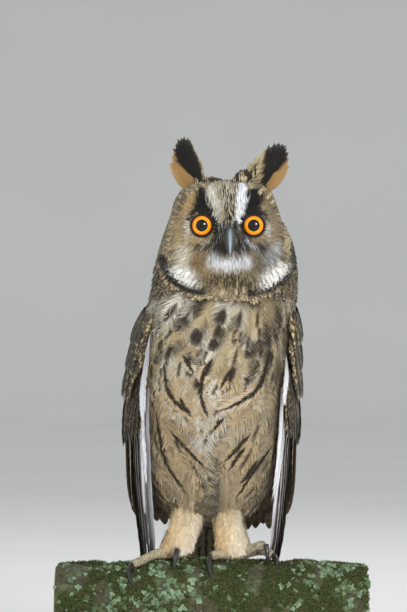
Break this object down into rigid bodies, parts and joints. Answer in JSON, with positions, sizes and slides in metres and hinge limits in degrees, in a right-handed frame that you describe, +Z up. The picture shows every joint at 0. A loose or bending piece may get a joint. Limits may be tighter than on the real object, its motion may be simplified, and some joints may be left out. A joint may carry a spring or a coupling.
{
  "type": "long-eared owl",
  "caption": "Life-size long-eared owl standing upright with folded wings and raised ear tufts, gripping a cut length of mossy branch on a plain display stand.",
  "frame": {"origin": "middle of the underside of the stand's base", "axes": "+Z up, -Y the way the owl faces, +X to the owl's own left along the branch"},
  "size_m": [0.26, 0.15, 0.4758],
  "materials": {
    "face_plumage": "feathers of the head, tan discs with white and black marks",
    "body_plumage": "feathers, warm buff with dark streaks",
    "wing_plumage": "feathers, dark brown mottled with buff, pale front edge",
    "tail_plumage": "feathers, buff brown with dark bars",
    "tuft_plumage": "feathers, black with buff edges",
    "leg_plumage": "short feathers, apricot",
    "toe_plumage": "short bristly feathers, grey cream",
    "claw_horn": "dark horn, glossy",
    "bill_horn": "slate grey horn, satin",
    "eye": "orange iris and black pupil under a clear front",
    "mossy_bark": "bark with moss and grey lichen",
    "stand_wood": "dark stained wood, satin",
    "stand_brass": "dark brass, satin"
  },
  "bodies": {
    "root": {"head": "face_plumage", "neck": "body_plumage", "torso": "body_plumage", "tail": "tail_plumage", "wing_right": "wing_plumage", "wing_left": "wing_plumage", "ear_tuft_right": "tuft_plumage", "ear_tuft_left": "tuft_plumage", "eye_right": "eye", "eye_left": "eye", "bill_upper": "bill_horn", "bill_lower": "bill_horn", "leg_right": "leg_plumage", "leg_left": "leg_plumage", "foot_right": "toe_plumage", "foot_left": "toe_plumage", "claw_right_outer": "claw_horn", "claw_right_inner": "claw_horn", "claw_right_hind": "claw_horn", "claw_right_reversed": "claw_horn", "claw_left_inner": "claw_horn", "claw_left_middle": "claw_horn", "claw_left_outer": "claw_horn", "claw_left_hind": "claw_horn", "perch_branch": "mossy_bark", "stand_base": "stand_wood", "stand_rod_right": "stand_brass", "stand_rod_left": "stand_brass"}
  },
  "joints": []
}
